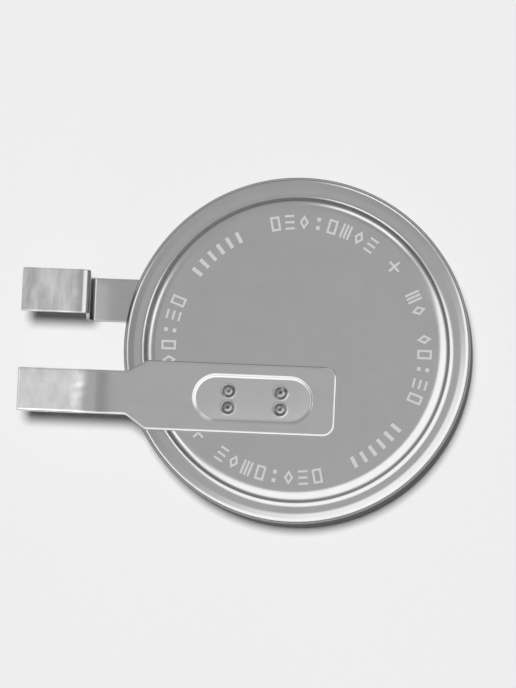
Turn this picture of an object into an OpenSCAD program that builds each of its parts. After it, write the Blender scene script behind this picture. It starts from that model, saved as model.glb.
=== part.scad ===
// Lithium coin cell, positive face up, with a flat solder tab welded to each pole.
// The origin is on the cell's axis at the negative face, and both tabs leave towards -X.

/* [Cell] */
// Outer diameter of the cell
cell_d = 20; // [16:0.5:24.5]
// Height from the negative face to the raised positive face
cell_h = 5; // [3.2:0.1:7.7]

/* [Positive can] */
// Sheet thickness of the can
can_t = 0.25; // [0.2:0.01:0.3]
// Outer radius of the can's top edge
can_edge_r = 0.45; // [0.35:0.05:0.55]
// Width of the low rim, from the outer wall to the foot of the raised face
rim_w = 1.15; // [1.1:0.01:1.6]
// Height of the raised face above the rim
face_step = 0.41; // [0.3:0.01:0.5]
// Slope of the step between the rim and the raised face, in degrees
step_slope = 40; // [25:1:50]
// Bend radius at the top of that step
brow_r = 0.63; // [0.4:0.01:0.8]
// Bend radius at its foot
foot_r = 0.49; // [0.3:0.01:0.6]
// Width of the rim's outer part, which falls towards the wall
fall_w = 0.62; // [0.55:0.01:0.7]
// Fall of that part, in degrees
fall_slope = 5; // [2:0.5:8]
// Bend radius where the fall starts
fall_r = 1.5; // [0.5:0.1:2]
// How far the crimped lip reaches in from the outer wall
lip_w = 1.25; // [1.18:0.02:1.5]
// How far the crimped lip stays above the negative face
lip_rise = 0.175; // [0.1:0.005:0.3]

/* [Gasket] */
// Wall thickness of the gasket
gasket_t = 0.4; // [0.3:0.01:0.45]
// Thickness of the gasket's base, under the end of the cap's skirt
gasket_base_t = 0.35; // [0.3:0.01:0.5]
// Thickness of the upstand inside the cap's skirt
upstand_t = 0.32; // [0.2:0.01:0.4]
// Height of that upstand, from the gasket's base
upstand_h = 0.5; // [0.2:0.05:0.8]
// How much of the gasket shows past the crimped lip
gasket_show = 0.12; // [0.05:0.01:0.2]

/* [Negative cap] */
// Sheet thickness of the cap
cap_t = 0.25; // [0.2:0.01:0.3]
// Inner bend radius at the corner between the cap's shoulder and its skirt
shoulder_r = 0.1; // [0.05:0.01:0.2]
// Bend radius of the cap's face edge and of its neck
neck_r = 0.3; // [0.2:0.01:0.35]
// How much narrower the neck is at the face than at the shoulder, on the radius
neck_draft = 0.2; // [0.1:0.01:0.4]
// Gap between the gasket's free edge and the neck
neck_gap = 0.08; // [0.04:0.01:0.2]

/* [Filling] */
// Thickness of the lithium disc
lithium_t = 1.1; // [0.8:0.05:1.3]
// Thickness of the separator
separator_t = 0.15; // [0.1:0.01:0.25]
// Height of the separator's turned-up wall
separator_wall_h = 0.9; // [0.4:0.05:1.2]
// Sheet thickness of the angle ring around the cathode
ring_t = 0.15; // [0.1:0.01:0.2]
// Height of that ring
ring_h = 0.8; // [0.5:0.05:1]
// Width of the ring's flange, under the pellet
flange_w = 0.9; // [0.5:0.05:1.5]
// Free space around the lithium disc, the ring and the separator
side_gap = 0.12; // [0.08:0.01:0.2]

/* [Tabs] */
// Sheet thickness of the tabs
tab_t = 0.2; // [0.15:0.01:0.25]
// Width of a tab's strip
tab_w = 2.54; // [2:0.02:3]
// Width of a tab's weld pad
pad_w = 3.87; // [3.4:0.05:4.2]
// Corner radius of the pad
pad_corner_r = 0.7; // [0.3:0.05:1]
// How far the pad reaches past the cell's axis
pad_past = 2.4; // [2:0.1:3]
// Distance of the pad's centre line from the cell's axis
pad_y = 2.95; // [2.7:0.05:3.2]
// How far the strip's centre line lies nearer to the axis than the pad's
strip_shift = 0.07; // [0:0.01:0.15]
// How far inside the outer wall the pad starts to narrow
flare_in = 1.5; // [1:0.1:2]
// Length over which it narrows to the strip
flare_l = 1.15; // [0.8:0.05:1.4]
// Length of the tabs past the outer wall
tab_reach = 5.97; // [5:0.01:8]
// How far both soldering ends lie below the positive tab's pad
end_drop = 0.08; // [0.04:0.01:0.12]
// Gap between the outer wall and the crease that brings the positive tab's end down
crease_gap = 0.77; // [0.6:0.01:1.2]
// Length of that crease
crease_l = 0.56; // [0.4:0.01:0.8]
// Bend radius on the crease's side towards the pad
crease_in_r = 5; // [1:0.1:6]
// Bend radius on its side towards the soldering end
crease_out_r = 2.6; // [0.5:0.1:4]
// Gap between the outer wall and the foot of the negative tab's riser
riser_gap = 2.33; // [1.5:0.01:3]
// Lean of the riser towards the cell, in degrees
riser_lean = 3; // [0:0.5:8]
// Inner bend radius of the riser
riser_r = 0.25; // [0.15:0.01:0.4]

/* [Weld pockets] */
// Length of the coined pocket
pocket_l = 7.46; // [6.6:0.1:7.8]
// Width of the pocket
pocket_w = 2.74; // [2.4:0.02:3]
// Depth of the pocket
pocket_depth = 0.1; // [0.05:0.01:0.12]
// Width of the pocket's sloping wall
pocket_wall = 0.2; // [0.1:0.01:0.3]
// Distance of the pocket's centre from the cell's axis
pocket_x = 2.2; // [2:0.05:2.4]
// Diameter of a weld spot
weld_d = 0.8; // [0.5:0.05:0.9]
// Depth of a weld spot
weld_depth = 0.03; // [0.01:0.01:0.03]
// How far the middle of the weld spots lies past the pocket's, towards the tab's soldering end
weld_shift_x = 0.09; // [0:0.01:0.15]
// How far it lies past the pocket's, away from the cell's axis across the pocket
weld_shift_y = 0.04; // [0:0.01:0.05]
// Distance between the weld spots along the pocket
weld_pitch_x = 3; // [2:0.1:3.6]
// Distance between the weld spots across the pocket
weld_pitch_y = 0.95; // [0.92:0.01:1.2]

/* [Hidden] */
$fn = 96;

// Clearance between round faces that fit into each other
fit = 0.01;
// Number of straight steps in each bend
bend_n = 6;
// Share of the room between two bends that their radii may fill
bend_room = 0.98;
// How much wider the chamfer of the gasket's base is than the can's inner corner radius
chamfer_more = 0.05;
// Corner radii of a tab's flare and of its soldering end
flare_r = 0.4;
end_r = 0.1;
// Share of a weld spot's diameter that its bottom takes
weld_bottom = 0.4;
// Length by which a cut or an uncut sheet passes the surface that limits it
over = 1;

cell_r = cell_d / 2;

// Radii of the concentric crimp bends, from the cap out to the can, and their common centre
cap_bend = shoulder_r + cap_t / 2;
gasket_bend = shoulder_r + cap_t + fit + gasket_t / 2;
can_bend = shoulder_r + cap_t + fit + gasket_t + fit + can_t / 2;
can_wall_x = cell_r - can_t / 2;
crimp_x = can_wall_x - can_bend;
crimp_z = lip_rise + can_t / 2 + can_bend;

// The can's step, the fall of its rim and its flat floor
foot_x = cell_r - rim_w;
brow_x = foot_x - face_step / tan(step_slope);
step_room = bend_room * face_step / sin(step_slope) / tan(step_slope / 2);
step_fit = min(1, step_room / (brow_r + foot_r));
fall_x = cell_r - fall_w;
fall_h = (can_wall_x - fall_x) * tan(fall_slope);
floor_z = cell_h - can_t;
floor_x = brow_x - step_fit * brow_r * tan(step_slope / 2);
seat_z = floor_z - face_step;

// The gasket's base and its free edge
base_z = seat_z - gasket_base_t;
lip_x = cell_r - lip_w;
gasket_x = lip_x - gasket_show;
gasket_wall_x = crimp_x + gasket_bend;
base_chamfer = can_edge_r - can_t + chamfer_more;

// The cap's neck, skirt and flat inner face
cap_wall_x = crimp_x + cap_bend;
shoulder_z = crimp_z - cap_bend;
neck_x = gasket_x - neck_gap - cap_t / 2;
face_x = neck_x - neck_draft;
face_turn = atan2(shoulder_z - cap_t / 2, neck_draft);
cap_flat_x = face_x - neck_r * tan(face_turn / 2);

// The filling, stacked from the cap's inner face to the can's floor
lithium_x = cap_flat_x - side_gap;
separator_z = cap_t + lithium_t;
pellet_z = separator_z + separator_t;
ring_x = floor_x - side_gap;
pellet_x = ring_x - ring_t - fit;
separator_wall_x = ring_x + side_gap + separator_t / 2;

// The tabs' levels and ends, measured on the sheets' middle planes
plus_z = cell_h + tab_t / 2;
minus_z = -tab_t / 2;
end_z = plus_z - end_drop;
tab_end_x = -cell_r - tab_reach;
crease_x = -cell_r - crease_gap;
crease_turn = atan2(end_drop, crease_l);
crease_room = bend_room * norm([crease_l, end_drop]) / tan(crease_turn / 2);
crease_fit = min(1, crease_room / (crease_in_r + crease_out_r));
riser_x = -cell_r - riser_gap - tab_t / 2;
riser_top_x = riser_x + (end_z - minus_z) * tan(riser_lean);
riser_bend = riser_r + tab_t / 2;

// A unit vector at an angle, and the same turned a quarter to the left
function along(a) = [cos(a), sin(a)];
function left_of(a) = [-sin(a), cos(a)];

// Heading from one point to the next, and the turn between two headings
function heading(p, q) = atan2(q[1] - p[1], q[0] - p[0]);
function turn(a, b) = let (d = b - a) d > 180 ? d - 360 : d <= -180 ? d + 360 : d;
function spot(p) = [p[0], p[1]];

// The corner at q, rounded with the radius q[2]: a list of [point, heading]
function bend(p, q, s) =
    let (
        a = heading(p, q),
        t = turn(a, heading(q, s)),
        side = sign(t) * q[2],
        start = spot(q) - q[2] * tan(abs(t) / 2) * along(a),
        centre = start + side * left_of(a)
    )
    [for (i = [0 : bend_n]) let (h = a + t * i / bend_n) [centre - side * left_of(h), h]];

// All stations of an open path of [x, y, radius] corners
function stations(path) =
    let (last = len(path) - 1)
    concat(
        [[spot(path[0]), heading(path[0], path[1])]],
        [for (i = [1 : 1 : last - 1]) each bend(path[i - 1], path[i], path[i + 1])],
        [[spot(path[last]), heading(path[last - 1], path[last])]]
    );

// One side of a sheet whose middle follows the path, at a signed distance to its left
function side_of(path, d) = [for (s = stations(path)) s[0] + d * left_of(s[1])];
function reversed(list) = [for (i = [len(list) - 1 : -1 : 0]) list[i]];

// Section of a bent sheet of even thickness
function sheet(path, t) = concat(side_of(path, -t / 2), reversed(side_of(path, t / 2)));

// A closed outline with its corners rounded
function rounded(points) =
    let (n = len(points))
    [for (i = [0 : n - 1])
        each [for (s = bend(points[(i + n - 1) % n], points[i], points[(i + 1) % n])) s[0]]];

// Drawn steel cup: raised positive face, low rim, straight wall and crimped lip
module positive_can() {
    face_z = cell_h - can_t / 2;
    rim_z = face_z - face_step;
    path = [
        [0, face_z],
        [brow_x, face_z, step_fit * brow_r],
        [foot_x, rim_z, step_fit * foot_r],
        [fall_x, rim_z, fall_r],
        [can_wall_x, rim_z - fall_h, can_edge_r - can_t / 2],
        [can_wall_x, crimp_z - can_bend, can_bend],
        [lip_x, crimp_z - can_bend]
    ];
    color("silver") rotate_extrude() polygon(sheet(path, can_t));
}

// Steel cap: flat negative face, neck, shoulder under the crimp and skirt
module negative_cap() {
    path = [
        [0, cap_t / 2],
        [face_x, cap_t / 2, neck_r],
        [neck_x, shoulder_z, neck_r],
        [cap_wall_x, shoulder_z, cap_bend],
        [cap_wall_x, base_z]
    ];
    color("gainsboro") rotate_extrude() polygon(sheet(path, cap_t));
}

// Moulded gasket: lip under the crimp, outer wall, base and the upstand inside the skirt
module gasket() {
    wall_z = (crimp_z + base_z) / 2;
    path = [
        [gasket_x, crimp_z - gasket_bend],
        [gasket_wall_x, crimp_z - gasket_bend, gasket_bend],
        [gasket_wall_x, wall_z]
    ];
    outer_x = gasket_wall_x + gasket_t / 2;
    inner_x = gasket_wall_x - gasket_t / 2;
    upstand_x = crimp_x + shoulder_r - fit;
    channel = [
        [outer_x, seat_z - fall_h - base_chamfer],
        [outer_x - base_chamfer, seat_z - fall_h],
        [fall_x - fall_r * tan(fall_slope / 2), seat_z],
        [upstand_x - upstand_t, seat_z],
        [upstand_x - upstand_t, base_z - upstand_h],
        [upstand_x, base_z - upstand_h],
        [upstand_x, base_z],
        [inner_x, base_z]
    ];
    outline = concat(side_of(path, -gasket_t / 2), channel, reversed(side_of(path, gasket_t / 2)));
    color("dimgray") rotate_extrude() polygon(outline);
}

// Pressed cathode, rebated at its upper edge for the ring's flange
module cathode_pellet() {
    rebate_x = pellet_x - flange_w;
    outline = [
        [0, pellet_z],
        [pellet_x, pellet_z],
        [pellet_x, floor_z - ring_t],
        [rebate_x, floor_z - ring_t],
        [rebate_x, floor_z],
        [0, floor_z]
    ];
    color("black") rotate_extrude() polygon(outline);
}

// Steel angle ring that holds the cathode's edge and carries its current to the can
module cathode_ring() {
    outline = [
        [ring_x, floor_z],
        [pellet_x - flange_w + fit, floor_z],
        [pellet_x - flange_w + fit, floor_z - ring_t],
        [ring_x - ring_t, floor_z - ring_t],
        [ring_x - ring_t, floor_z - ring_h],
        [ring_x, floor_z - ring_h]
    ];
    color("darkgray") rotate_extrude() polygon(outline);
}

// Separator cup between the lithium and the cathode
module separator() {
    path = [
        [0, separator_z + separator_t / 2],
        [separator_wall_x, separator_z + separator_t / 2, separator_t],
        [separator_wall_x, separator_z + separator_wall_h]
    ];
    color("white") rotate_extrude() polygon(sheet(path, separator_t));
}

// Lithium disc on the cap's inner face
module lithium_anode() {
    color("lightsteelblue") translate([0, 0, cap_t]) cylinder(h = lithium_t, r = lithium_x);
}

// Plan outline of a tab: wide weld pad, flare and strip, seen from above
module tab_plan() {
    flare_x = -cell_r + flare_in;
    strip_low = strip_shift - tab_w / 2;
    strip_high = strip_shift + tab_w / 2;
    polygon(rounded([
        [pad_past, -pad_w / 2, pad_corner_r],
        [pad_past, pad_w / 2, pad_corner_r],
        [flare_x, pad_w / 2, flare_r],
        [flare_x - flare_l, strip_high, flare_r],
        [tab_end_x, strip_high, end_r],
        [tab_end_x, strip_low, end_r],
        [flare_x - flare_l, strip_low, flare_r],
        [flare_x, -pad_w / 2, flare_r]
    ]));
}

// A tab bent along a path in the XZ plane and cut to the plan outline
module bent_tab(path) {
    intersection() {
        rotate([90, 0, 0]) linear_extrude(2 * pad_w, center = true) polygon(sheet(path, tab_t));
        translate([0, 0, -cell_h]) linear_extrude(3 * cell_h) tab_plan();
    }
}

// The coined pocket with its four weld spots, cut down from z = 0
module weld_pocket() {
    pass = pocket_depth / 2;
    floor_r = pocket_w / 2 - pocket_wall;
    mouth_r = pocket_w / 2 + pocket_wall / 2;
    cut = pocket_depth + pass;
    straight = pocket_l - pocket_w;
    translate([-pocket_x, 0, -pocket_depth]) {
        for (s = [-1, 1])
            translate([s * straight / 2, 0, 0]) cylinder(h = cut, r1 = floor_r, r2 = mouth_r);
        rotate([90, 0, 90]) linear_extrude(straight, center = true)
            polygon([[-floor_r, 0], [floor_r, 0], [mouth_r, cut], [-mouth_r, cut]]);
        for (sx = [-1, 1], sy = [-1, 1])
            translate([
                sx * weld_pitch_x / 2 - weld_shift_x,
                sy * weld_pitch_y / 2 - weld_shift_y,
                -weld_depth
            ])
                cylinder(h = weld_depth, d1 = weld_bottom * weld_d, d2 = weld_d);
    }
}

// Tab on the raised positive face, with a shallow crease down to its soldering end
module positive_tab() {
    path = [
        [pad_past + over, plus_z],
        [crease_x, plus_z, crease_fit * crease_in_r],
        [crease_x - crease_l, end_z, crease_fit * crease_out_r],
        [tab_end_x - over, end_z]
    ];
    color("lightgray") translate([0, -pad_y, 0]) difference() {
        bent_tab(path);
        translate([0, 0, cell_h + tab_t]) weld_pocket();
    }
}

// Tab under the negative face, with a riser up to the level of the positive tab's end
module negative_tab() {
    path = [
        [pad_past + over, minus_z],
        [riser_x, minus_z, riser_bend],
        [riser_top_x, end_z, riser_bend],
        [tab_end_x - over, end_z]
    ];
    color("lightgray") translate([0, pad_y, 0]) mirror([0, 1, 0]) difference() {
        bent_tab(path);
        translate([0, 0, -tab_t]) mirror([0, 0, 1]) weld_pocket();
    }
}

positive_can();
negative_cap();
gasket();
cathode_pellet();
cathode_ring();
separator();
lithium_anode();
positive_tab();
negative_tab();
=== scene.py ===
"""Looks of a lithium coin cell with two solder tabs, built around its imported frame.

Sizes are in millimetres and become metres where a mesh is made. The origin is on the cell's axis
at the negative face, +Z points out of the raised positive face, and both tabs leave towards -X.
"""

import math

import bpy
import numpy as np
from mathutils import Matrix, Vector, geometry, noise


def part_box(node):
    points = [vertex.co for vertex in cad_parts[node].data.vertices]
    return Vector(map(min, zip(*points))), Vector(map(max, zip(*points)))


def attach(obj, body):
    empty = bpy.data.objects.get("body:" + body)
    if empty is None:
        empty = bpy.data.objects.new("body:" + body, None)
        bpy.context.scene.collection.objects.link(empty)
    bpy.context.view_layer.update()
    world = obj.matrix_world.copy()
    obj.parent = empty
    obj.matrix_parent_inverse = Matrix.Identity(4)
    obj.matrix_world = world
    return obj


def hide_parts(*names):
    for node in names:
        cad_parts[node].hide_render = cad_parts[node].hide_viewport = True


MM = 0.001

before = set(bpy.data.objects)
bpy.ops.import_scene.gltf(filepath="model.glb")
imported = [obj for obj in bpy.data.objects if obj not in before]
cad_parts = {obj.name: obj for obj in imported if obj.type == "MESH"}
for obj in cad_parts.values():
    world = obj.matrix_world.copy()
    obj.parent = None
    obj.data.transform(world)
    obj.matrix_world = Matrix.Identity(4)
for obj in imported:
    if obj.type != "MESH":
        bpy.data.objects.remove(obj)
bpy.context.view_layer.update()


def node_box(name):
    """Lowest and highest corner of a CAD node, in millimetres."""
    low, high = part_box(name)
    return Vector(low) / MM, Vector(high) / MM


can_low, can_high = node_box("positive_can")
plus_low, plus_high = node_box("positive_tab")
minus_low, minus_high = node_box("negative_tab")

# The cell's overall sizes, from the frame
CELL_R = can_high.x
CELL_H = can_high.z

# The can
CAN_T = 0.25
CAN_EDGE_R = 0.37
FALL_W = 0.62
FALL_SLOPE = 7.0
FALL_R = 0.9
RIM_W = 1.18
FACE_STEP = 0.39
STEP_SLOPE = 42.0
BROW_R = 0.69
FOOT_R = 0.53
LIP_W = 1.25

# The gasket and the cap, and how far the gasket's chamfer clears the can's edge
FIT = 0.01
GASKET_T = 0.4
GASKET_BASE_T = 0.35
UPSTAND_T = 0.32
UPSTAND_H = 0.5
GASKET_SHOW = 0.12
CHAMFER_CLEAR = 0.05
CAP_T = 0.25
SKIRT_BEND_R = 0.1
NECK_R = 0.3
NECK_DRAFT = 0.2
NECK_GAP = 0.08

# The tabs
TAB_T = 0.2
PAD_W = 4.01
STRIP_W = 2.54
PAD_CORNER_R = 0.7
PAD_Y = -(plus_high.y + plus_low.y) / 2
STRIP_SHIFT = 0.07
FLARE_IN = 1.5
FLARE_L = 1.15
FLARE_R = 0.4
STRIP_END_R = 0.12
PLUS_ROUND = 0.14
MINUS_ROUND = 0.06
END_DROP = 0.08
CREASE_GAP = 0.77
CREASE_L = 0.56
CREASE_IN_R = 5.0
CREASE_OUT_R = 2.6
RISER_GAP = 2.5
RISER_LEAN = 5.4
RISER_FOOT_R = 0.33
RISER_TOP_R = 0.25

# The coined pocket and its weld spots. A wall starts a lip's width outside the pocket's outline,
# and each ring of a spot's relief has a radius, a height and a width.
POCKET_L = 6.95
POCKET_W = 2.74
POCKET_DEPTH = 0.108
POCKET_WALL = 0.2
POCKET_LIP = 0.02
POCKET_X = -2.36
POCKET_BULGE = 0.025
WELD_PITCH = (3.0, 0.95)
WELD_SHIFT = (-0.07, -0.04)
WELD_RINGS = [(0.40, 0.014, 0.035), (0.29, -0.030, 0.065), (0.13, 0.012, 0.05)]
WELD_PIPS = (-0.02, 0.02, 0.015, -0.035)
PIP_WIDTH = 0.06
WELD_UNEVEN = 1.1

# The etched signs, and how far they go into the face and stand out of it
MARK_R = 6.93
MARK_SINK = 0.002
MARK_RISE = 0.004

# Fineness of the meshes
LATHE_STEPS = 288
BEND_STEP = 6.0
GUARD = 0.04
SHARP_ANGLE = 32.0
OUTLINE_STEP = 0.3
EDGE_STEPS = (0, 13, 25, 37, 49, 61, 75, 90)
WALL_RINGS = 10
SPOT_RINGS = 11
SPOT_STEP = 0.042
SPOT_FLAT = 0.5
GRID_COARSE = 0.35
GRID_FINE = 0.1
GRID_FROM_SPOT = 0.55
GRID_FROM_PAD_END = 0.15
GRID_FROM_STRIP_END = 0.1
GRID_FROM_SIDE = 0.08

# The steel's grain, and its drawn walls: the upright part of the normal where a wall's look
# starts and where it is full, its tone as a share of the face's, and its tint at grazing angles.
# The darker tone and the dim grazing tint on the walls are painted shade
GRAIN_DEPTH = 0.00006
WALL_STARTS = 0.72
WALL_FULL = 0.5
WALL_SHADE_TONE = 0.7
WALL_SHADE_TINT = 0.03


def along(angle):
    """Unit vector at an angle in degrees."""
    return Vector((math.cos(math.radians(angle)), math.sin(math.radians(angle))))


def left_of(angle):
    return along(angle + 90)


def heading(p, q):
    return math.degrees(math.atan2(q[1] - p[1], q[0] - p[0]))


def turn(a, b):
    """The turn from one heading to another, at most half a circle."""
    return (b - a + 180) % 360 - 180


def bend(before, corner, after):
    """Stations of (point, heading) round the corner (x, y, radius) of a path."""
    start = heading(before, corner)
    angle = turn(start, heading(corner, after))
    side = math.copysign(corner[2], angle)
    here = Vector(corner[:2])
    first = here - along(start) * corner[2] * math.tan(math.radians(abs(angle) / 2))
    centre = first + left_of(start) * side
    steps = max(3, math.ceil(abs(angle) / BEND_STEP))
    angles = [start + angle * i / steps for i in range(steps + 1)]
    return [(centre - left_of(a) * side, a) for a in angles]


def stations(path):
    """All stations of an open path whose inner corners are (x, y, radius)."""
    found = [(Vector(path[0][:2]), heading(path[0], path[1]))]
    for before, corner, after in zip(path, path[1:], path[2:]):
        found += bend(before, corner, after)
    found.append((Vector(path[-1][:2]), heading(path[-2], path[-1])))
    return found


def rounded(points):
    """Stations of a closed outline of (x, y, radius) corners."""
    found = []
    for i, corner in enumerate(points):
        found += bend(points[i - 1], corner, points[(i + 1) % len(points)])
    return found


def subdivided(found, spacing):
    """Stations of a closed outline, with more of them along its straights."""
    full = []
    for (p, a), (q, b) in zip(found, found[1:] + found[:1]):
        steps = max(1, round((q - p).length / spacing)) if abs(turn(a, b)) < 0.01 else 1
        full += [(p.lerp(q, i / steps), a) for i in range(steps)]
    return full


def side_of(path, distance):
    """One side of a sheet, at a signed distance to the left of its path."""
    return [p + left_of(a) * distance for p, a in stations(path)]


def sheet(path, thickness):
    """Section of a bent sheet of even thickness."""
    return side_of(path, -thickness / 2) + side_of(path, thickness / 2)[::-1]


def guarded(outline):
    """A closed outline with a point near each end of its straights, so flats shade flat."""
    full = []
    for p, q in zip(outline, outline[1:] + outline[:1]):
        p, q = Vector(p), Vector(q)
        full.append(p)
        length = (q - p).length
        if length > 5 * GUARD:
            full += [p.lerp(q, GUARD / length), q.lerp(p, GUARD / length)]
    return full


def make_mesh(name, vertices, faces):
    """A smooth-shaded mesh object from vertices in millimetres."""
    mesh = bpy.data.meshes.new(name)
    mesh.from_pydata([Vector(v) * MM for v in vertices], [], faces)
    mesh.validate()
    mesh.shade_smooth()
    mesh.set_sharp_from_angle(angle=math.radians(SHARP_ANGLE))
    piece = bpy.data.objects.new(name, mesh)
    bpy.context.scene.collection.objects.link(piece)
    return piece


def dress(piece, material, slot, *replaced):
    """Gives a piece its material and body, and hides the CAD nodes that it stands for. The slot is
    not used.
    """
    piece.data.materials.append(material)
    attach(piece, "root")
    if replaced:
        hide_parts(*replaced)


def lathe(name, outline):
    """Turns a closed (radius, height) outline about Z."""
    vertices = []
    rows = []
    for r, z in guarded(outline):
        if r < 1e-6:
            rows.append([len(vertices)] * LATHE_STEPS)
            vertices.append((0, 0, z))
            continue
        rows.append(list(range(len(vertices), len(vertices) + LATHE_STEPS)))
        for k in range(LATHE_STEPS):
            a = 2 * math.pi * k / LATHE_STEPS
            vertices.append((r * math.cos(a), r * math.sin(a), z))
    faces = []
    for low, high in zip(rows, rows[1:] + rows[:1]):
        for k in range(LATHE_STEPS):
            n = (k + 1) % LATHE_STEPS
            face = list(dict.fromkeys((low[k], low[n], high[n], high[k])))
            if len(face) > 2:
                faces.append(face)
    return make_mesh(name, vertices, faces)


class Graph:
    """A node tree, with short calls that add nodes and join their inputs."""

    def __init__(self, tree):
        self.tree = tree

    def add(self, kind, settings=(), **inputs):
        node = self.tree.nodes.new(kind)
        for key, value in dict(settings).items():
            setattr(node, key, value)
        self.feed(node, **inputs)
        return node

    def feed(self, node, **inputs):
        """Joins or sets inputs, named with _ for a space or as i0, i1 for their places."""
        for key, value in inputs.items():
            numbered = key[0] == "i" and key[1:].isdigit()
            socket = node.inputs[int(key[1:]) if numbered else key.replace("_", " ")]
            if isinstance(value, bpy.types.NodeSocket):
                self.tree.links.new(value, socket)
            else:
                socket.default_value = value

    def remap(self, value, low, high, new_low, new_high, kind="LINEAR"):
        node = self.add("ShaderNodeMapRange", {"interpolation_type": kind}, Value=value)
        self.feed(node, From_Min=low, From_Max=high, To_Min=new_low, To_Max=new_high)
        return node.outputs[0]

    def calc(self, operation, a, b=0.0):
        return self.add("ShaderNodeMath", {"operation": operation}, i0=a, i1=b).outputs[0]

    def ramp(self, value, stops):
        """A grey ramp through (position, level) stops."""
        node = self.add("ShaderNodeValToRGB", Fac=value)
        elements = node.color_ramp.elements
        while len(elements) < len(stops):
            elements.new(0.5)
        for element, (position, level) in zip(elements, stops):
            element.position = position
            element.color = (level, level, level, 1)
        return node.outputs[0]


class Shader(Graph):
    """A material's node tree around its Principled surface."""

    def __init__(self, name):
        self.material = bpy.data.materials.new(name)
        self.material.use_nodes = True
        super().__init__(self.material.node_tree)
        self.surface = self.tree.nodes["Principled BSDF"]
        self.place = self.add("ShaderNodeTexCoord").outputs["Object"]

    def stretch(self, scale):
        """The object's coordinates, times a scale for each axis."""
        return self.add("ShaderNodeMapping", Vector=self.place, Scale=scale).outputs[0]

    def noise(self, vector, detail=2.0, roughness=0.5):
        node = self.add("ShaderNodeTexNoise", Vector=vector, Scale=1.0)
        self.feed(node, Detail=detail, Roughness=roughness)
        return node.outputs[0]

    def mix(self, factor, a, b, blend="MIX"):
        """Mixes two colours or two numbers."""
        colours = isinstance(a, tuple) or getattr(a, "type", "") == "RGBA"
        kind = {"data_type": "RGBA" if colours else "FLOAT", "blend_type": blend}
        first = 6 if colours else 2
        node = self.add("ShaderNodeMix", kind, i0=factor)
        self.feed(node, **{f"i{first}": a, f"i{first + 1}": b})
        return node.outputs[2 if colours else 0]

    def bump(self, height, distance, strength=1.0, normal=None):
        node = self.add("ShaderNodeBump", Height=height, Strength=strength, Distance=distance)
        if normal is not None:
            self.feed(node, Normal=normal)
        return node.outputs[0]


def grey(level):
    """An opaque grey of a linear level."""
    return (level, level, level, 1.0)


def steel(name, level, roughness, grain=(7000.0, 7000.0, 7000.0), wall_roughness=None):
    """Satin plated steel: a faintly mottled tone and a very fine grain, rougher on drawn walls, whose
    tone and grazing tint are darkened as painted shade.
    """
    s = Shader(name)
    mottle = s.noise(s.stretch((700.0, 700.0, 700.0)), 6.0, 0.7)
    fine = s.noise(s.stretch(grain), 2.0, 0.6)
    tone = s.mix(s.remap(mottle, 0.3, 0.7, 0.0, 1.0), grey(level * 0.97), grey(level * 1.03))
    shine = s.remap(fine, 0.25, 0.75, roughness * 0.95, roughness * 1.05)
    if wall_roughness:
        facing = s.add("ShaderNodeTexCoord").outputs["Normal"]
        upright = s.add("ShaderNodeSeparateXYZ", Vector=facing).outputs["Z"]
        steep = s.remap(s.calc("ABSOLUTE", upright), WALL_STARTS, WALL_FULL, 0.0, 1.0)
        shine = s.mix(steep, shine, wall_roughness)
        # Painted shade: steep walls get a darker tone and a dim tint at grazing angles
        tone = s.mix(steep, tone, grey(level * WALL_SHADE_TONE))
        s.feed(s.surface, Specular_Tint=s.mix(steep, grey(1.0), grey(WALL_SHADE_TINT)))
    s.feed(
        s.surface,
        Base_Color=tone,
        Metallic=1.0,
        Roughness=shine,
        Normal=s.bump(fine, GRAIN_DEPTH * MM),
    )
    return s


def plain(name, low, high, roughness, scale, depth, metallic=0.0):
    """A mottled material with a bumpy surface, for the plastic, powder, fibre and soft metal."""
    s = Shader(name)
    spots = s.noise(s.stretch((scale, scale, scale)), 4.0, 0.65)
    s.feed(
        s.surface,
        Base_Color=s.mix(s.remap(spots, 0.3, 0.7, 0.0, 1.0), low, high),
        Metallic=metallic,
        Roughness=s.remap(spots, 0.3, 0.7, roughness * 0.9, min(1.0, roughness * 1.1)),
        Normal=s.bump(spots, depth * MM),
    )
    return s.material


# The concentric bends of the crimp
can_bend = SKIRT_BEND_R + CAP_T + FIT + GASKET_T + FIT + CAN_T / 2
gasket_bend = SKIRT_BEND_R + CAP_T + FIT + GASKET_T / 2
cap_bend = SKIRT_BEND_R + CAP_T / 2
crimp_x = CELL_R - CAN_T / 2 - can_bend
crimp_z = can_low.z + CAN_T / 2 + can_bend
seat_z = CELL_H - CAN_T - FACE_STEP
base_z = seat_z - GASKET_BASE_T
gasket_x = CELL_R - LIP_W - GASKET_SHOW

# The rim falls from here to the middle of the wall's sheet
fall_x = CELL_R - FALL_W
fall_h = (FALL_W - CAN_T / 2) * math.tan(math.radians(FALL_SLOPE))


def build_can(material):
    foot_x = CELL_R - RIM_W
    brow_x = foot_x - FACE_STEP / math.tan(math.radians(STEP_SLOPE))
    wall = CELL_R - CAN_T / 2
    top = CELL_H - CAN_T / 2
    rim = top - FACE_STEP
    path = [
        (0, top),
        (brow_x, top, BROW_R),
        (foot_x, rim, FOOT_R),
        (fall_x, rim, FALL_R),
        (wall, rim - fall_h, CAN_EDGE_R - CAN_T / 2),
        (wall, crimp_z - can_bend, can_bend),
        (CELL_R - LIP_W, crimp_z - can_bend),
    ]
    can = lathe("can", sheet(path, CAN_T))
    dress(can, material, "can_steel", "positive_can")


def build_cap(material):
    neck_x = gasket_x - NECK_GAP - CAP_T / 2
    shoulder_z = crimp_z - cap_bend
    path = [
        (0, CAP_T / 2),
        (neck_x - NECK_DRAFT, CAP_T / 2, NECK_R),
        (neck_x, shoulder_z, NECK_R),
        (crimp_x + cap_bend, shoulder_z, cap_bend),
        (crimp_x + cap_bend, base_z),
    ]
    cap = lathe("cap", sheet(path, CAP_T))
    dress(cap, material, "cap_steel", "negative_cap")


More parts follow.
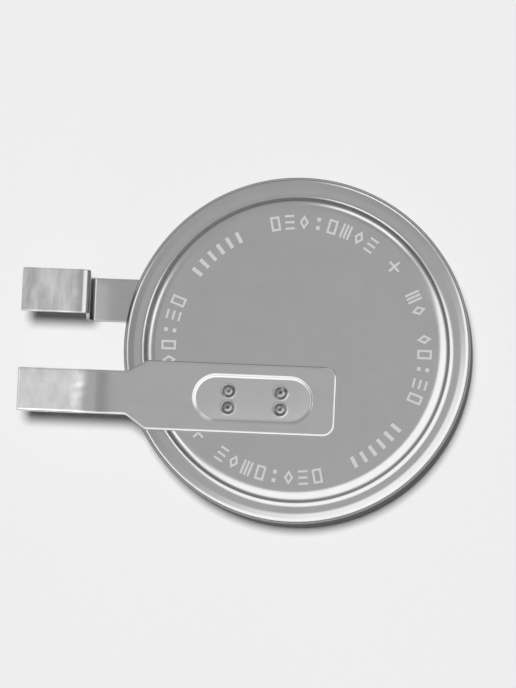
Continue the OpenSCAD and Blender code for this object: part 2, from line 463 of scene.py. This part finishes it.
def build_gasket(material):
    wall = crimp_x + gasket_bend
    path = [
        (gasket_x, crimp_z - gasket_bend),
        (wall, crimp_z - gasket_bend, gasket_bend),
        (wall, (crimp_z + base_z) / 2),
    ]
    outer = wall + GASKET_T / 2
    chamfer = CAN_EDGE_R - CAN_T + CHAMFER_CLEAR
    upstand = crimp_x + SKIRT_BEND_R - FIT
    channel = [
        (outer, seat_z - fall_h - chamfer),
        (outer - chamfer, seat_z - fall_h),
        (fall_x - FALL_R * math.tan(math.radians(FALL_SLOPE / 2)), seat_z),
        (upstand - UPSTAND_T, seat_z),
        (upstand - UPSTAND_T, base_z - UPSTAND_H),
        (upstand, base_z - UPSTAND_H),
        (upstand, base_z),
        (wall - GASKET_T / 2, base_z),
    ]
    outline = side_of(path, -GASKET_T / 2) + channel + side_of(path, GASKET_T / 2)[::-1]
    dress(lathe("gasket_ring", outline), material, "gasket_plastic", "gasket")


def obround(centre, length, radius, steps=24):
    """Points round an obround whose straight part runs along X."""
    ends = [(1, -90 + 180 * i / steps) for i in range(steps + 1)]
    ends += [(-1, 90 + 180 * i / steps) for i in range(steps + 1)]
    return [Vector((centre + side * length / 2, 0)) + along(a) * radius for side, a in ends]


def ring(centre, radius, steps=28):
    return [Vector(centre) + along(360 * i / steps) * radius for i in range(steps)]


def distance_to(points, outline):
    """Distance of each point to a closed polyline."""
    a = np.array(outline)
    b = np.roll(a, -1, axis=0)
    d = b - a
    away = points[:, None, :] - a[None]
    t = np.clip((away * d).sum(2) / np.maximum((d * d).sum(1), 1e-12), 0, 1)
    return np.linalg.norm(away - t[..., None] * d[None], axis=2).min(1)


def smooth_step(value, low, high):
    t = min(1.0, max(0.0, (value - low) / (high - low)))
    return t * t * (3 - 2 * t)


def pocket_depth(u, v, centre):
    """Depth of the coined pocket at a point: soft edges round a slightly raised floor."""
    half = (POCKET_L - POCKET_W) / 2
    du = max(0.0, abs(u - centre) - half)
    away = math.hypot(du, v) / (POCKET_W / 2)
    inset = (1 - away) * POCKET_W / 2
    bulge = POCKET_BULGE * max(0.0, 1 - away * away)
    return (POCKET_DEPTH - bulge) * smooth_step(inset, -POCKET_LIP, POCKET_WALL)


def swell(r, radius, height, width):
    """Height at a distance r from a spot's centre, of a soft ring round that centre."""
    return height * math.exp(-(((r - radius) / width) ** 2))


def weld_relief(r, rough, pip):
    """Height of a weld spot above the pocket's floor: raised rim, sunken ring, mound and pip."""
    return sum(swell(r, *sizes) for sizes in WELD_RINGS) * (1 + rough) + swell(r, 0, pip, PIP_WIDTH)


class TabPlan:
    """Flat mesh of a tab: u runs along the sheet from the pad's end and v across it."""

    def __init__(self, total, axis_u, tinned, rounding):
        self.total = total
        self.rounding = rounding
        self.flare = axis_u + CELL_R - FLARE_IN
        self.pocket = axis_u - POCKET_X
        self.tinned = tinned
        self.points = []
        self.edges = []
        low, high = STRIP_SHIFT - STRIP_W / 2, STRIP_SHIFT + STRIP_W / 2
        corners = [
            (0, -PAD_W / 2, PAD_CORNER_R),
            (self.flare, -PAD_W / 2, FLARE_R),
            (self.flare + FLARE_L, low, FLARE_R),
            (total, low, STRIP_END_R),
            (total, high, STRIP_END_R),
            (self.flare + FLARE_L, high, FLARE_R),
            (self.flare, PAD_W / 2, FLARE_R),
            (0, PAD_W / 2, PAD_CORNER_R),
        ]
        self.plan = subdivided(rounded(corners), OUTLINE_STEP)
        self.outline = [p for p, _ in self.plan]
        pitch_u, pitch_v = WELD_PITCH
        mid_u, mid_v = self.pocket + WELD_SHIFT[0], WELD_SHIFT[1]
        places = [(su, sv) for su in (-1, 1) for sv in (-1, 1)]
        self.welds = [(mid_u + su * pitch_u / 2, mid_v + sv * pitch_v / 2) for su, sv in places]

    def add_loop(self, loop, closed=True):
        first = len(self.points)
        self.points.extend(loop)
        last = len(self.points) - 1
        self.edges.extend((i, i + 1) for i in range(first, last))
        if closed:
            self.edges.append((last, first))

    def add_edge_rings(self):
        for step in EDGE_STEPS:
            inset = self.rounding * (1 - math.cos(math.radians(step)))
            self.add_loop([p + left_of(a) * inset for p, a in self.plan])
        self.add_loop([p + left_of(a) * (self.rounding + GUARD) for p, a in self.plan])

    def add_pocket(self):
        straight = POCKET_L - POCKET_W
        span = POCKET_WALL + POCKET_LIP
        insets = [-POCKET_LIP + span * k / WALL_RINGS for k in range(WALL_RINGS + 1)]
        for inset in [-POCKET_LIP - GUARD] + insets + [POCKET_WALL + GUARD]:
            self.add_loop(obround(self.pocket, straight, POCKET_W / 2 - inset))
        for weld in self.welds:
            self.points.append(Vector(weld))
            for k in range(1, SPOT_RINGS + 1):
                self.add_loop(ring(weld, SPOT_STEP * k))
            # Points on the flat round the spot keep its slope out of the floor's shading
            for p in ring(weld, SPOT_FLAT):
                if self.weld_distance(p.x, p.y) > SPOT_FLAT - 0.001:
                    self.points.append(p)

    def add_bend_lines(self, lengths):
        """Lines across the sheet, and past its sides, where the path bends."""
        reach = 3
        for u in lengths:
            self.add_loop([Vector((u, -reach)), Vector((u, reach))], closed=False)

    def add_grid(self):
        u = self.rounding + GRID_FROM_PAD_END
        while u < self.total - GRID_FROM_STRIP_END:
            spacing = GRID_FINE if u > self.tinned else GRID_COARSE
            wide = u < self.flare
            half = (PAD_W if wide else STRIP_W) / 2 - self.rounding - GRID_FROM_SIDE
            middle = 0 if wide else STRIP_SHIFT
            count = max(2, round(2 * half / spacing))
            for i in range(count + 1):
                v = middle - half + 2 * half * i / count
                if self.weld_distance(u, v) > GRID_FROM_SPOT:
                    self.points.append(Vector((u, v)))
            u += spacing

    def weld_distances(self, u, v):
        return [math.hypot(u - weld_u, v - weld_v) for weld_u, weld_v in self.welds]

    def weld_distance(self, u, v):
        return min(self.weld_distances(u, v))

    def weld_pip(self, u, v):
        """Height of the middle of the nearest weld spot."""
        distances = self.weld_distances(u, v)
        return WELD_PIPS[distances.index(min(distances))]

    def triangles(self):
        """Points and triangles of the plan, and each point's distance to the outline."""
        border = list(range(len(self.outline)))
        flat, _, faces, *_ = geometry.delaunay_2d_cdt(self.points, self.edges, [border], 1, 1e-7)
        points = np.array([(p.x, p.y) for p in flat])
        return points, faces, distance_to(points, self.outline)


def tin_edge(border, v, seed):
    """Where the tin starts at a place across the strip: it wanders round its border."""
    broad = 0.3 * noise.noise(Vector((seed, v * 0.9, 0.3)))
    fine = 0.15 * noise.noise(Vector((seed, v * 2.4, 5.3)))
    return border + broad + fine


def tab_mesh(name, path, centre_y, flip, seed, rounding, tin):
    """A bent tab: its plan is meshed flat, given relief, then wrapped along the path in XZ.

    flip is 1 for a pocket on the upper side and -1 for the lower one. rounding is the radius of
    the edges. tin holds the length of the tinned end, its thickness, and how often its lumps
    repeat along and across the strip.
    """
    line = stations(path)
    lengths = [0.0]
    for (p, _), (q, _) in zip(line, line[1:]):
        lengths.append(lengths[-1] + (q - p).length)
    total = lengths[-1]
    tin_l, tin_t, lump_u, lump_v = tin
    border = total - tin_l
    plan = TabPlan(total, path[0][0], border - 0.8, rounding)
    plan.add_edge_rings()
    plan.add_pocket()
    plan.add_bend_lines(lengths[1:-1])
    plan.add_grid()
    points, triangles, insets = plan.triangles()
    across = math.copysign(1, -centre_y)
    vertices, heat, cover, coined, upper, lower = [], [], [], [], [], []
    for (u, v), d in zip(points, insets):
        k = max(0, min(len(line) - 2, int(np.searchsorted(lengths, u, side="right")) - 1))
        t = (u - lengths[k]) / max(lengths[k + 1] - lengths[k], 1e-9)
        here = line[k][0].lerp(line[k + 1][0], t)
        out = left_of(line[k][1] + turn(line[k][1], line[k + 1][1]) * t) * -1
        dome = math.sqrt(max(0.0, 1 - (1 - min(1.0, d / rounding)) ** 2))
        half = TAB_T / 2 * dome
        nearest = plan.weld_distance(u, v)
        rough = WELD_UNEVEN * noise.noise(Vector((u * 4 + seed, v * 4, 4.1)))
        relief = weld_relief(nearest, rough, plan.weld_pip(u, v)) - pocket_depth(u, v, plan.pocket)
        edge = tin_edge(border, v, seed)
        lumps = noise.noise(Vector((u * lump_u + seed, v * lump_v, 1.7)))
        film = (tin_t + 0.001 * lumps) * smooth_step(u, edge, edge + 0.9)
        film *= smooth_step(d, 0, rounding)
        top = half + (relief if flip > 0 else 0) + film
        bottom = -half - (relief if flip < 0 else 0) - film
        y = centre_y + v * across
        upper.append(len(vertices))
        vertices.append((here.x + out.x * top, y, here.y + out.y * top))
        heat.append(nearest)
        cover.append(smooth_step(u, edge - 0.1, edge + 0.5))
        coined.append(pocket_depth(u, v, plan.pocket) / POCKET_DEPTH)
        if d < 1e-5:
            lower.append(upper[-1])
            continue
        lower.append(len(vertices))
        vertices.append((here.x + out.x * bottom, y, here.y + out.y * bottom))
        heat.append(nearest)
        cover.append(cover[-1])
        coined.append(coined[-1])
    faces = []
    for triangle in triangles:
        triangle = triangle if centre_y > 0 else triangle[::-1]
        faces.append([upper[i] for i in triangle])
        faces.append([lower[i] for i in reversed(triangle)])
    piece = make_mesh(name, vertices, faces)
    for key, values in (("weld_distance", heat), ("tin_cover", cover), ("coined", coined)):
        piece.data.attributes.new(key, "FLOAT", "POINT").data.foreach_set("value", values)
    return piece


def tab_steel(name, level, roughness, tin_level, tin_contrast, streaks):
    """Nickel-plated strip: fine grain, a streaky tinned end and heat-tinted welds.

    streaks is how often the tin's streaks repeat in a metre, along each axis.
    """
    s = steel(name, level, roughness, grain=(2500.0, 12000.0, 12000.0))
    base, rough, normal = (
        s.surface.inputs[key].links[0].from_socket for key in ("Base Color", "Roughness", "Normal")
    )
    tinned = s.add("ShaderNodeAttribute", {"attribute_name": "tin_cover"}).outputs["Fac"]
    lines = s.noise(s.stretch(streaks), 5.0, 0.62)
    spread = s.remap(lines, 0.35, 0.65, 0.0, 1.0)
    dull, clear = tin_level * (1 - tin_contrast), tin_level * (1 + tin_contrast)
    tin = s.mix(spread, grey(dull), grey(clear))
    weld = s.add("ShaderNodeAttribute", {"attribute_name": "weld_distance"}).outputs["Fac"]
    stops = [(0.0, 0.10), (0.10, 0.16), (0.24, 0.62), (0.40, 0.5)]
    stops += [(0.60, 0.16), (0.76, 0.42), (0.9, 1.0)]
    heat = s.ramp(s.calc("MULTIPLY", weld, 2.0), stops)
    coined = s.add("ShaderNodeAttribute", {"attribute_name": "coined"}).outputs["Fac"]
    base = s.mix(coined, base, grey(level * 1.12))
    s.feed(
        s.surface,
        Base_Color=s.mix(1.0, s.mix(tinned, base, tin), heat, "MULTIPLY"),
        Roughness=s.mix(tinned, rough, 0.26),
        Normal=s.bump(s.calc("MULTIPLY", lines, tinned), 0.0012 * MM, 1.0, normal),
    )
    return s.material


def build_tabs():
    plus_z = CELL_H + TAB_T / 2
    minus_z = minus_low.z + TAB_T / 2
    end_z = plus_z - END_DROP
    crease = -CELL_R - CREASE_GAP
    riser = -CELL_R - RISER_GAP - TAB_T / 2
    riser_top = riser + (end_z - minus_z) * math.tan(math.radians(RISER_LEAN))
    plus_path = [
        (plus_high.x, plus_z),
        (crease, plus_z, CREASE_IN_R),
        (crease - CREASE_L, end_z, CREASE_OUT_R),
        (plus_low.x, end_z),
    ]
    minus_path = [
        (minus_high.x, minus_z),
        (riser, minus_z, RISER_FOOT_R + TAB_T / 2),
        (riser_top, end_z, RISER_TOP_R + TAB_T / 2),
        (minus_low.x, end_z),
    ]
    plus_tin = (4.0, 0.04, 1.5, 0.7)
    minus_tin = (3.4, 0.01, 2.5, 0.3)
    plus = tab_mesh("tab_plus", plus_path, -PAD_Y, 1, 3.1, PLUS_ROUND, plus_tin)
    minus = tab_mesh("tab_minus", minus_path, PAD_Y, -1, 8.4, MINUS_ROUND, minus_tin)
    plus_metal = tab_steel("plus_tab_metal", 0.56, 0.22, 0.86, 0.1, (1300.0, 700.0, 1300.0))
    minus_metal = tab_steel("minus_tab_metal", 0.5, 0.22, 0.7, 0.2, (1900.0, 420.0, 1900.0))
    dress(plus, plus_metal, "tab_steel", "positive_tab")
    dress(minus, minus_metal, "tab_steel", "negative_tab")


def bar(x0, y0, x1, y1):
    return [(x0, y0), (x1, y0), (x1, y1), (x0, y1)]


def sign_shapes(kind):
    """Outlines of a plain sign in a box 1 high, centred on x = 0: (outer, inner or None)."""
    w, s = 0.32, 0.15
    lens = [(0, 0), (w, 0.5), (0, 1), (-w, 0.5)]
    heart = [(0, 1.7 * s), (w - 1.15 * s, 0.5), (0, 1 - 1.7 * s), (-w + 1.15 * s, 0.5)]
    arm = 0.47
    h = s / 2
    quarter = [(-arm, -h), (-h, -h), (-h, -arm)]
    half = quarter + [(-y, x) for x, y in quarter]
    plus = half + [(-x, -y) for x, y in half]
    shapes = {
        "box": [(bar(-w, 0, w, 1), bar(-w + s, s, w - s, 1 - s))],
        "gem": [(lens, heart)],
        "rungs": [(bar(-w, y, w, y + s), None) for y in (0.0, 0.425, 0.85)],
        "comb": [(bar(x - s / 2, 0, x + s / 2, 1), None) for x in (-0.26, 0.0, 0.26)],
        "dots": [(bar(-0.13, y, 0.13, y + 0.26), None) for y in (0.08, 0.66)],
        "block": [(bar(-0.16, 0, 0.16, 1), None)],
        "cross": [([(x, y + 0.5) for x, y in plus], None)],
    }
    return shapes[kind]


def build_marks(material):
    """Plain etched signs round the positive face, in rows that repeat after half a turn.

    A row has the angle of its middle, the pitch of its signs in degrees, their height and kinds.
    """
    low, high = CELL_H - MARK_SINK, CELL_H + MARK_RISE
    arc = ["box", "rungs", "gem", "dots", "box", "comb", "gem", "rungs"]
    rows = [
        (79.4, 6.44, 0.84, arc),
        (42.7, 6.0, 0.84, ["cross"]),
        (23.3, 6.5, 0.84, ["comb", "gem"]),
        (-6.7, 6.75, 0.84, ["gem", "box", "dots", "rungs", "box"]),
        (-48.1, 4.9, 0.68, ["block"] * 6),
    ]
    vertices, faces = [], []
    for half_turn in (0, 180):
        for middle, pitch, height, kinds in rows:
            for i, kind in enumerate(kinds):
                angle = middle + half_turn + pitch * ((len(kinds) - 1) / 2 - i)
                out, right = along(angle), along(angle - 90)

                def place(shape):
                    return [out * (MARK_R + y * height) + right * x * height for x, y in shape]

                for outer, inner in sign_shapes(kind):
                    add_sign(vertices, faces, place(outer), inner and place(inner), low, high)
    marks = make_mesh("face_marks", vertices, faces)
    dress(marks, material, "can_steel")


def add_sign(vertices, faces, outer, inner, low, high):
    """Adds one flat solid between an outer outline and, where there is one, an inner outline."""

    def walls(loop, flipped):
        first = len(vertices)
        n = len(loop)
        vertices.extend((p.x, p.y, high) for p in loop)
        vertices.extend((p.x, p.y, low) for p in loop)
        for i in range(n):
            j = (i + 1) % n
            face = [first + i, first + n + i, first + n + j, first + j]
            faces.append(face[::-1] if flipped else face)
        return first, n

    first, n = walls(outer, False)
    if inner is None:
        faces.append([first + i for i in range(n)])
        faces.append([first + n + i for i in reversed(range(n))])
        return
    second, _ = walls(inner, True)
    for i in range(n):
        j = (i + 1) % n
        faces.append([first + i, first + j, second + j, second + i])
        faces.append([first + n + j, first + n + i, second + n + i, second + n + j])


def dress_inner_pieces():
    """The sealed filling keeps its CAD solids and gets its real surfaces."""
    looks = {
        "cathode_pellet": plain("pressed_powder", grey(0.012), grey(0.035), 0.8, 6000.0, 0.02),
        "cathode_ring": steel("ring_steel", 0.6, 0.25).material,
        "separator": plain("fibre_felt", grey(0.7), grey(0.86), 0.9, 9000.0, 0.03),
        "lithium_anode": plain("lithium_metal", grey(0.5), grey(0.66), 0.45, 1500.0, 0.01, 1.0),
    }
    for name, material in looks.items():
        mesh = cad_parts[name].data
        mesh.materials.clear()
        mesh.materials.append(material)


def build_floor():
    s = Shader("pale_floor")
    tone = s.noise(s.stretch((30.0, 30.0, 30.0)), 2.0)
    s.feed(
        s.surface,
        Base_Color=s.mix(tone, grey(0.87), grey(0.89)),
        Roughness=0.9,
        Specular_IOR_Level=0.1,
    )
    reach = 2000.0
    corners = [(-reach, -reach), (reach, -reach), (reach, reach), (-reach, reach)]
    floor = make_mesh("floor", [(x, y, minus_low.z) for x, y in corners], [(0, 1, 2, 3)])
    floor.data.materials.append(s.material)


def sky_vector(azimuth, elevation):
    a, e = math.radians(azimuth), math.radians(elevation)
    return (math.cos(a) * math.cos(e), math.sin(a) * math.cos(e), math.sin(e))


def build_world():
    """Soft studio surroundings: grey overhead, darker low down, with broad bright panels.

    Cameras and mirror-like surfaces see all of it. Everything else gets one soft plain level.
    """
    world = bpy.data.worlds.new("studio")
    bpy.context.scene.world = world
    world.use_nodes = True
    g = Graph(world.node_tree)
    shown = world.node_tree.nodes["Background"]
    ray = g.add("ShaderNodeTexCoord").outputs["Generated"]
    height = g.add("ShaderNodeSeparateXYZ", Vector=ray).outputs["Z"]
    stops = [(0.0, 0.07), (0.08, 0.09), (0.17, 0.18), (0.29, 0.48), (0.45, 0.57), (0.93, 0.6)]
    total = g.ramp(height, stops)

    def patch(azimuth, elevation, spread, softness, level):
        """A round patch of a level, faded out over its softness in degrees."""
        towards = sky_vector(azimuth, elevation)
        near = g.add("ShaderNodeVectorMath", {"operation": "DOT_PRODUCT"}, i0=ray, i1=towards)
        outside = math.cos(math.radians(spread))
        inside = math.cos(math.radians(spread - softness))
        return g.remap(near.outputs["Value"], outside, inside, 0.0, level, "SMOOTHSTEP")

    # Two dimmer patches overhead
    for azimuth, elevation, spread, softness, shade in [(172, 70, 11, 8, 0.35), (70, 63, 10, 7, 0.3)]:
        dim = g.calc("SUBTRACT", 1.0, patch(azimuth, elevation, spread, softness, shade))
        total = g.calc("MULTIPLY", total, dim)
    # The bright side of the room starts a little past the zenith
    clear = g.remap(height, 0.24, 0.5, 0.0, 1.0, "SMOOTHSTEP")
    side = g.add("ShaderNodeVectorMath", {"operation": "DOT_PRODUCT"}, i0=ray, i1=sky_vector(-53, 0))
    bright = g.remap(side.outputs["Value"], -0.05, 0.13, 0.0, 1.72, "SMOOTHSTEP")
    total = g.calc("MAXIMUM", total, g.calc("MULTIPLY", bright, clear))
    # Bright panels: azimuth, elevation and level
    panels = [(162, 40, 2.1), (178, 39, 1.5), (196, 39, 1.5), (212, 39, 2.1)]
    panels += [(36, 36, 1.2), (62, 37, 2.1), (76, 37, 2.1)]
    for azimuth, elevation, level in panels:
        total = g.calc("MAXIMUM", total, patch(azimuth, elevation, 13, 7, level))
    # The pale ground below the horizon, for views with the floor hidden
    ground = g.remap(height, -0.02, -0.1, 0.0, 0.6, "SMOOTHSTEP")
    total = g.calc("MAXIMUM", total, ground)
    g.feed(shown, Color=(1, 1, 1, 1), Strength=total)
    soft = g.add("ShaderNodeBackground", Color=(1, 1, 1, 1), Strength=0.055)
    path = g.add("ShaderNodeLightPath")
    direct = g.calc("LESS_THAN", path.outputs["Diffuse Depth"], 0.5)
    glossy = g.calc("MULTIPLY", path.outputs["Is Glossy Ray"], direct)
    seen = g.calc("MAXIMUM", path.outputs["Is Camera Ray"], glossy)
    seen = g.calc("MAXIMUM", seen, path.outputs["Is Transmission Ray"])
    mix = g.add("ShaderNodeMixShader", i0=seen, i1=soft.outputs[0], i2=shown.outputs[0])
    g.feed(world.node_tree.nodes["World Output"], Surface=mix.outputs[0])


def build_key_light():
    """A soft, nearly overhead key that draws the shadow on the floor."""
    key = bpy.data.lights.new("key", "SUN")
    key.energy = 2.88
    key.angle = math.radians(9.5)
    lamp = bpy.data.objects.new("key", key)
    bpy.context.scene.collection.objects.link(lamp)
    towards = Vector(sky_vector(76, 87.5))
    lamp.rotation_euler = towards.to_track_quat("Z", "Y").to_euler()
    lamp.visible_glossy = False


def build_camera():
    """A long lens nearly above the cell, leaning a little towards the lower right."""
    distance, tilt, azimuth, roll = 300.0, 6.205, -49.009, -2.614
    pixels_per_mm, frame_height = 17.442, 688.0
    target = Vector((-2.219, 0.236, 5.0))
    back = Vector(sky_vector(azimuth, 90 - tilt))
    lean = math.radians(roll)
    right = Vector((math.sin(lean), math.cos(lean), 0)).cross(back).normalized()
    axes = Matrix((right, back.cross(right), back)).transposed().to_4x4()
    data = bpy.data.cameras.new("camera")
    data.sensor_width = 36.0
    data.lens = pixels_per_mm * distance / frame_height * data.sensor_width
    data.clip_start = 0.01
    data.clip_end = 10.0
    camera = bpy.data.objects.new("camera", data)
    bpy.context.scene.collection.objects.link(camera)
    camera.matrix_world = Matrix.Translation((target + back * distance) * MM) @ axes
    bpy.context.scene.camera = camera


bpy.context.scene.view_settings.view_transform = "Standard"

build_can(steel("can_metal", 0.53, 0.2, wall_roughness=0.4).material)
build_cap(steel("cap_metal", 0.56, 0.2, wall_roughness=0.35).material)
build_gasket(plain("gasket_plastic", grey(0.016), grey(0.022), 0.45, 5000.0, 0.004))
build_tabs()
build_marks(plain("etched_metal", grey(0.56), grey(0.66), 0.7, 20000.0, 0.002))
dress_inner_pieces()
build_floor()
build_world()
build_key_light()
build_camera()
